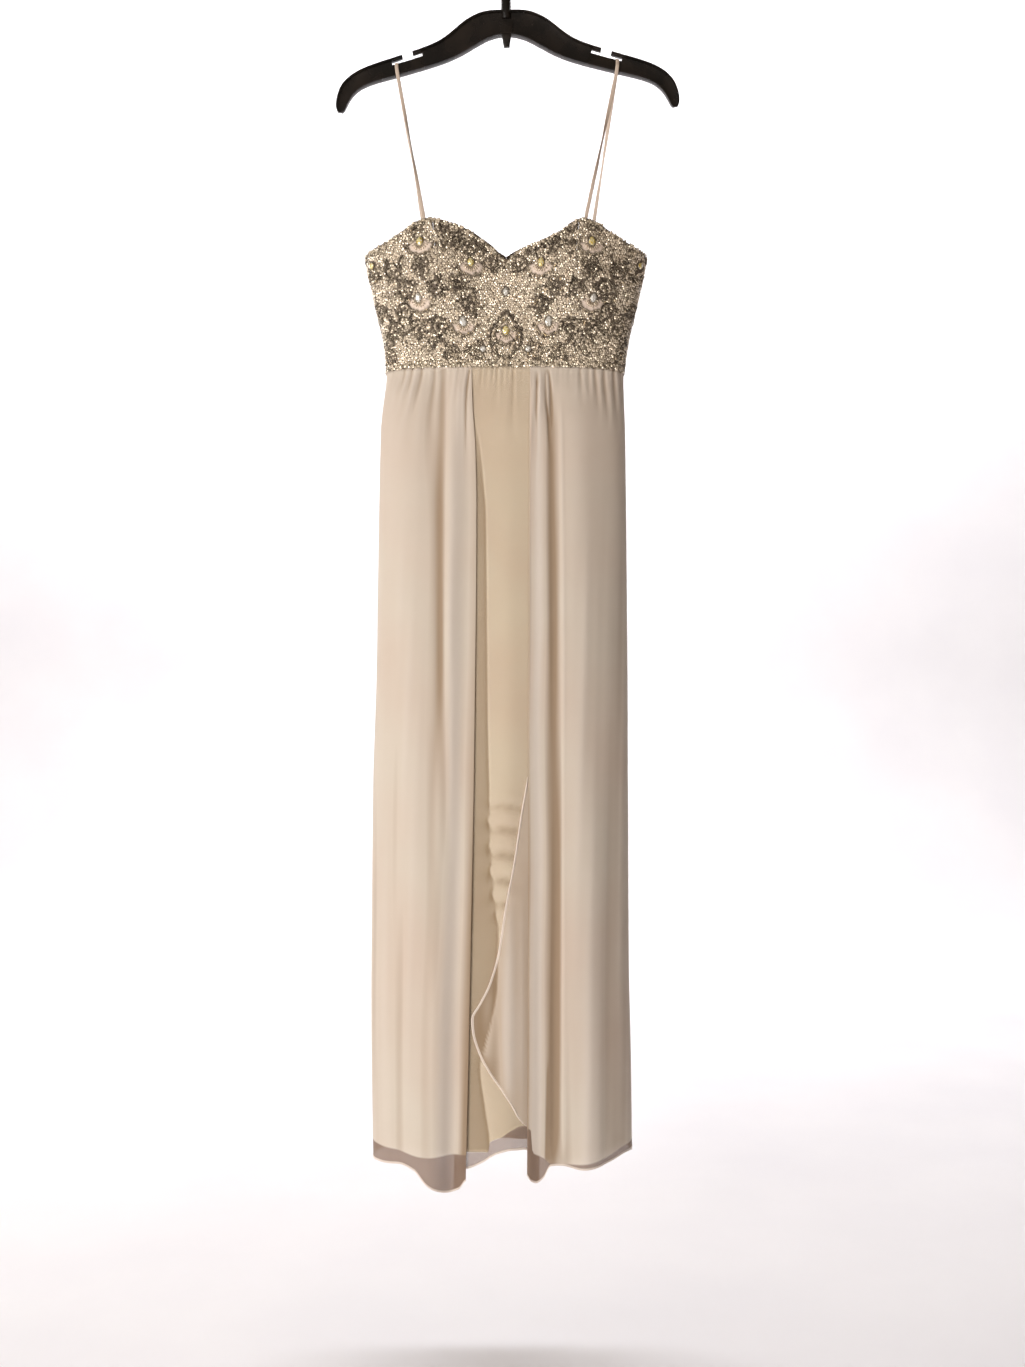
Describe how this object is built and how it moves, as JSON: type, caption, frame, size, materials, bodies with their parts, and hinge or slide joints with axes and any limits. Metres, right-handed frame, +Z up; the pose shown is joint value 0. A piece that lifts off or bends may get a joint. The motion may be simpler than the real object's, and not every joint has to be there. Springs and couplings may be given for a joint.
{
  "type": "strapless dress on a hanger",
  "caption": "Floor-length strapless evening dress with a beaded sweetheart bodice and a parted chiffon overskirt, hung by ribbons from a plastic hanger",
  "frame": {"origin": "inside top of the hanger's hook, on the wire's inner face, where a rail carries it", "axes": "+Z up, -Y towards the front of the dress, +X to the viewer's right when the front is looked at"},
  "size_m": [0.48, 0.1685, 1.7347],
  "materials": {
    "beaded_cloth": "cream cloth covered with sequins and silver beads",
    "chiffon": "matt, slightly sheer",
    "lining_satin": "soft satin",
    "ribbon_satin": "satin",
    "zip_nylon": "matt",
    "zip_metal": "satin",
    "crystal_gold": "cut and polished",
    "crystal_clear": "cut and polished",
    "hanger_plastic": "moulded, half gloss",
    "hook_steel": "bright wire"
  },
  "bodies": {
    "dress": {"bodice_centre_front": "beaded_cloth", "bodice_side_front_left": "beaded_cloth", "bodice_side_front_right": "beaded_cloth", "bodice_back_left": "beaded_cloth", "bodice_back_right": "beaded_cloth", "overskirt_front_left": "chiffon", "overskirt_front_right": "chiffon", "overskirt_back_left": "chiffon", "overskirt_back_right": "chiffon", "cascade_panel": "chiffon", "cascade_rolled_edge": "chiffon", "lining_front": "lining_satin", "lining_back_left": "lining_satin", "lining_back_right": "lining_satin", "hanging_ribbon_left": "ribbon_satin", "hanging_ribbon_right": "ribbon_satin", "zip_chain": "zip_nylon", "zip_slider": "zip_metal", "hanger": "hanger_plastic", "hook": "hook_steel", "crystal_01": "crystal_gold", "crystal_02": "crystal_clear", "crystal_03": "crystal_clear", "crystal_04": "crystal_clear", "crystal_05": "crystal_gold", "crystal_06": "crystal_gold", "crystal_07": "crystal_clear", "crystal_08": "crystal_clear", "crystal_09": "crystal_gold", "crystal_10": "crystal_gold", "crystal_11": "crystal_clear", "crystal_12": "crystal_clear", "crystal_13": "crystal_gold", "crystal_14": "crystal_gold", "crystal_15": "crystal_clear", "crystal_16": "crystal_clear", "crystal_17": "crystal_gold", "crystal_18": "crystal_gold"},
    "zip_pull": {"zip_pull": "zip_metal"}
  },
  "joints": [
    {"name": "zip_pull_swing", "type": "hinge", "parent": "dress", "child": "zip_pull", "pos_m": [0, 0.06132, -0.439], "axis": [1, 0, 0], "range_deg": [-6, 160]}
  ]
}
